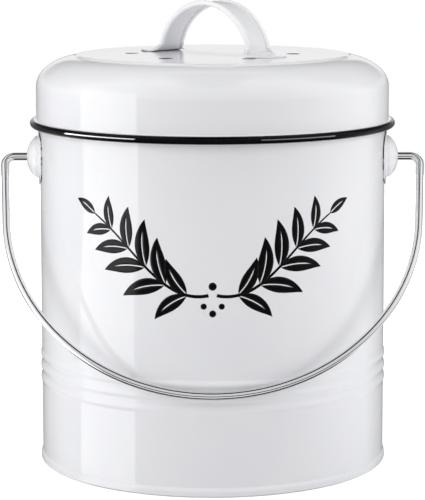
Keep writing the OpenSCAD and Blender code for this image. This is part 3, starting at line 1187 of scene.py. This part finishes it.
def mark_strap(bm, count):
    """Painted shade on the cut edges round the pads, and a painted highlight on the arch's rolled edges.

    Each station has that many faces. The right tip's edge gets no painted shade and stays white, as it
    is in good light.
    """
    for i, face in enumerate(bm.faces):
        middle = face.calc_center_median()
        on_roll = i % (count // 2) < ROLL_STEPS
        # The low edges round the pads get painted shade
        if middle.z < DISC_TOP + SHADE_UP_TO and middle.x < SHADE_LEFT_OF:
            face.material_index = EDGE_SHADE_FINISH
        # High faces on the rolls get the painted highlight
        elif middle.z > DISC_TOP + HIGHLIGHT_FROM and on_roll:
            face.material_index = HIGHLIGHT_FINISH


def make_strap(material, edge_shade_material, highlight_material):
    """The strap, swept from the tip of one pad over the arch to the tip of the other."""
    points, pad = strap_path()
    widths = strap_widths(points)
    path = [(-x, z) for x, z in points[:0:-1]] + points
    widths = widths[:0:-1] + widths
    turn = math.radians(STRAP_TURN)
    stations = []
    for i, ((x, z), (half, roll)) in enumerate(zip(path, widths)):
        nx, nz = across_path(path, i)
        ring = []
        for across, out in strap_ring(half, roll):
            px, pz = x + nx * out, z + nz * out
            dent = pad_dents(px, across, pad) if nz > 0.98 and out > 0 else 0.0
            px += ARCH_SHIFT * smooth(pz / ARCH_SHIFT_RISE)
            wx = px * math.cos(turn) + across * math.sin(turn)
            wy = px * math.sin(turn) - across * math.cos(turn)
            ring.append((wx, wy, DISC_TOP + PAD_LIFT + pz - dent))
        stations.append(ring)
    bm = bmesh.new()
    sweep(bm, stations)
    mark_strap(bm, len(stations[0]))
    strap = make_piece("strap_handle", bm, material, "lid", sharp=50)
    strap.data.materials.append(edge_shade_material)
    strap.data.materials.append(highlight_material)
    return strap


# ---------------------------------------------------------------- filter


def felt_lumps():
    """A function of (x, y) that rises and falls like felt, from waves in random directions."""
    random.seed(LUMP_SEED)
    waves = []
    for _ in range(LUMP_WAVES):
        waves.append((random.uniform(0, 360), random.uniform(0.04, 0.22), random.uniform(0, 6)))

    def lump(x, y):
        total = 0.0
        for heading, pitch, phase in waves:
            dx, dy = polar(1.0, heading)
            total += math.sin((x * dx + y * dy) * pitch * 6 + phase)
        return total / len(waves)

    return lump


def make_charcoal(material):
    """The round fibre pad: crowned, a little lumpy and soft at its edge."""
    lump = felt_lumps()
    half = FILTER_T / 2
    middle = FILTER_Z + half
    soft_from, soft_to = EDGE_SAG_SPAN
    bm = bmesh.new()
    rings = []
    profile = [(r, half) for r in span(0.05, FILTER_R - FILTER_EDGE, steps=36)]
    profile += arc((FILTER_R - FILTER_EDGE, half - FILTER_EDGE), FILTER_EDGE, 75, 0, steps=5)
    profile += [(r, -z) for r, z in profile[::-1]]
    for radius, z in profile:
        ring = []
        for x, y in circle(radius, ROUND_PAD):
            sag = FILTER_SAG + EDGE_SAG * smooth((radius - soft_from) / (soft_to - soft_from))
            rough = LUMP * lump(x, y) + FUZZ * lump(y * FUZZ_PITCH + z, x * FUZZ_PITCH)
            height = z - math.copysign(sag, z) * abs(z) / half
            ring.append((x, y, middle + height + rough))
        rings.append(add_ring(bm, ring))
    bridge_rings(bm, rings, False)
    bm.faces.new(rings[0])
    bm.faces.new(rings[-1][::-1])
    pad = make_piece("charcoal_pad", bm, material, "filter", sharp=80)
    return pad


# ---------------------------------------------------------------- studio


def make_camera():
    """A long lens at the photographed angle, with its frame shifted down onto the pail."""
    lens = bpy.data.cameras.new("camera")
    lens.sensor_width = CAMERA_SENSOR
    lens.lens = CAMERA_LENS
    lens.shift_y = CAMERA_SHIFT
    lens.clip_end = 50.0
    camera = put_in_scene("camera", lens)
    camera.location = CAMERA_PLACE
    camera.rotation_euler = CAMERA_TURN
    bpy.context.scene.camera = camera


def make_world():
    """White to the camera, to gloss and through glass, and a soft fill for the rest."""
    world = bpy.data.worlds.new("studio")
    world.use_nodes = True
    bpy.context.scene.world = world
    nodes = Nodes(world.node_tree)
    path = nodes.add("LightPath")
    camera = nodes.value(path, "Is Camera Ray")
    gloss = nodes.value(path, "Is Glossy Ray")
    glass = nodes.value(path, "Is Transmission Ray")
    seen = (camera + gloss + glass).least(1.0)
    strength = seen * (1.0 - WORLD_FILL) + WORLD_FILL
    sky = nodes.add("Background", None, {"Color": (1, 1, 1, 1), "Strength": strength})
    nodes.add("OutputWorld", None, {"Surface": sky.outputs[0]})


def grey(value):
    return (value, value, value, 1)


def ring_stops(pairs):
    """Ramp stops from (degrees to the right of the front, brightness) pairs."""
    return [(angle / 360 + 0.5, grey(bright / SOFTBOX)) for angle, bright in pairs]


def stage_mesh(name, bm):
    """A piece of the studio, which isn't part of the pail. Its mesh is in metres."""
    mesh = mesh_from(name, bm)
    thing = put_in_scene(name, mesh)
    material = bpy.data.materials.new(name + "_paint")
    material.use_nodes = True
    mesh.materials.append(material)
    thing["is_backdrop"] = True
    return thing, Nodes(material.node_tree)


def make_floor():
    """A round pale table. To the camera it is lifted to white, and it keeps the shadow."""
    bm = bmesh.new()
    bmesh.ops.create_circle(bm, cap_ends=True, segments=96, radius=FLOOR_R)
    floor, nodes = stage_mesh("floor", bm)
    path = nodes.add("LightPath")
    camera = nodes.value(path, "Is Camera Ray")
    glass = nodes.value(path, "Is Transmission Ray")
    seen = (camera + glass).least(1.0)
    x, y, z = nodes.axes(nodes.place())
    far = (x * x + y * y) ** 0.5
    glow = nodes.blend(nodes.step(far, 0.15, 0.9), grey(FLOOR_GLOW), grey(FLOOR_GLOW_FAR))
    sockets = {
        "Base Color": (0.8, 0.8, 0.81, 1),
        "Roughness": 0.9,
        "Specular IOR Level": 0.0,
        "Emission Color": nodes.blend(seen, grey(0), glow),
        "Emission Strength": 1.0,
    }
    shader = nodes.add("BsdfPrincipled", None, sockets)
    nodes.add("OutputMaterial", None, {"Surface": shader.outputs[0]})
    floor.visible_glossy = False


def softbox_mask(nodes, heading, z):
    """The softbox: a rectangle with round corners. Its foot is wider and stands to one side."""
    rise = z.arcsine() * (180 / math.pi)
    lean = nodes.step(rise, -9.0, -5.0)
    aside = (heading * 360 - BOX_ANGLE - lean * BOX_LEAN).size() - BOX_HALF_W + lean * BOX_SPREAD
    aside = aside.most(0.0)
    above = (rise.size() - BOX_HALF_H).most(0.0)
    corner = (aside * aside + above * above) ** 0.5
    return 1 - nodes.step(corner, 2.6, 3.4)


def make_surround():
    """What gloss sees all round the table: white walls, a soft box, dark flags and gaps."""
    bm = bmesh.new()
    bmesh.ops.create_uvsphere(bm, u_segments=64, v_segments=32, radius=DOME_SIZE)
    dome, nodes = stage_mesh("surround", bm)
    way = nodes.add("VectorMath", {"operation": "NORMALIZE"}, {0: nodes.place()})
    x, y, z = nodes.axes(way.outputs[0])
    heading = x.angle_to(0 - y) * (0.5 / math.pi) + 0.5
    low = nodes.add("ValToRGB", {"stops": ring_stops(LOW_RING)}, {0: heading})
    high = nodes.add("ValToRGB", {"stops": ring_stops(HIGH_RING)}, {0: heading})
    shade = nodes.blend(nodes.step(z, 0.07, 0.1), low.outputs[0], high.outputs[0])
    behind = nodes.step((heading - 0.5).size(), 0.27, 0.32)
    # From the first zone to the last, each hides those before it. z is the sine of the height.
    zones = (
        (nodes.step(z, 0.2, 0.3) * (1 - nodes.step(z, 0.8, 0.86)) * behind, REAR_FLAG),
        (nodes.step(0 - z, 0.31, 0.38), TABLE_GLOSS),
        (nodes.step(x.size() * 0.25 - z, 0.75, 0.81), UNDER_TABLE),
        (nodes.step(z, 0.86, 0.9) * (1 - nodes.step(x.size(), 0.14, 0.22)), TOP_GAP),
        (softbox_mask(nodes, heading, z), SOFTBOX),
    )
    for mask, bright in zones:
        shade = nodes.blend(mask, shade, grey(bright / SOFTBOX))
    paint = nodes.add("Emission", None, {"Color": shade, "Strength": SOFTBOX})
    nodes.add("OutputMaterial", None, {"Surface": paint.outputs[0]})
    dome.data.materials[0].cycles.emission_sampling = "NONE"
    dome.visible_camera = False
    dome.visible_diffuse = False
    dome.visible_transmission = False
    dome.visible_shadow = False


def make_lamp(name, place, aim, size, power):
    """A soft lamp, turned to what it lights. It doesn't show, nor does gloss see it."""
    light = bpy.data.lights.new(name, "AREA")
    light.shape = "RECTANGLE"
    light.size, light.size_y = size
    light.energy = power
    lamp = put_in_scene(name, light)
    lamp.location = place
    lamp.rotation_mode = "QUATERNION"
    lamp.rotation_quaternion = (Vector(aim) - Vector(place)).to_track_quat("-Z", "Y")
    lamp.visible_glossy = False
    lamp.visible_camera = False
    return lamp


def light_only(lamp, name, pieces):
    """Keeps a lamp's light to some pieces."""
    group = bpy.data.collections.new(name)
    for piece in pieces:
        group.objects.link(piece)
    lamp.light_linking.receiver_collection = group


def beside(angle, distance, height):
    """A place that many degrees round to the right of the front."""
    turn = math.radians(angle)
    return distance * math.sin(turn), -distance * math.cos(turn), height


def make_studio(rim):
    """All of the studio. The two kicks light only the rim's gloss."""
    make_world()
    make_floor()
    make_surround()
    for name, angle, power in STRIPS:
        make_lamp(name, beside(angle, *STRIP_PLACE), PAIL_MIDDLE, STRIP_SIZE, power)
    for name, place, size, power in BOXES:
        make_lamp(name, place, PAIL_MIDDLE, size, power)
    for name, angle, width, power in KICKS:
        kick = make_lamp(name, beside(angle, *KICK_PLACE), KICK_AIM, (width, KICK_HEIGHT), power)
        kick.visible_glossy = True
        kick.visible_diffuse = False
        light_only(kick, name + "_pieces", [rim])


# ---------------------------------------------------------------- build


def clear_scene():
    for thing in list(bpy.data.objects):
        bpy.data.objects.remove(thing)


def main():
    clear_scene()
    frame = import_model()
    cad_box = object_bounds()
    make_camera()
    bpy.context.scene.view_settings.view_transform = "Standard"

    white = finish_with("white_enamel_finish", white_enamel)
    black = finish_with("black_enamel_finish", black_enamel)
    chrome = finish_with("chrome_wire_finish", drawn_chrome)
    # Painted shade for cut edges and vent walls
    thin_edge = finish_with("thin_edge_finish", edge_shade_enamel)
    # Painted highlight for the strap's rolled edges
    thick = finish_with("thick_enamel_finish", thick_enamel)
    ink = finish_with("fired_print_finish", fired_print)
    steel = finish_with("clip_steel_finish", clip_steel)
    plastic = finish_with("tray_plastic_finish", tray_plastic)
    felt = finish_with("charcoal_felt_finish", charcoal_felt)

    rim = make_rim(black)
    replacements = (
        (make_wall(white), "body_wall", "white_enamel"),
        (make_base(white), "base_pan", "white_enamel"),
        (make_ear("ear_left_skin", -1, white, thin_edge), "ear_left", "white_enamel"),
        (make_ear("ear_right_skin", 1, white, thin_edge), "ear_right", "white_enamel"),
        (make_bail(chrome), "bail", "chrome_wire"),
        (make_lid_shell(white, thin_edge), "lid_shell", "white_enamel"),
        (rim, "lid_rim", "black_enamel"),
        (make_strap(white, thin_edge, thick), "lid_handle", "white_enamel"),
        (make_charcoal(felt), "charcoal_filter", "charcoal_fibre"),
    )
    for piece, node, slot in replacements:
        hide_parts(node)
    make_print(ink)
    for node, material in (("filter_clips", steel), ("filter_tray", plastic)):
        for slot in frame["nodes"][node].material_slots:
            slot.material = material

    make_studio(rim)
    return cad_box


box_at_load = main()
bpy.context.view_layer.update()
boxes = [[list(corner) for corner in pair] for pair in (box_at_load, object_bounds())]
'{"cad": %s, "visual": %s}' % (boxes[0], boxes[1])
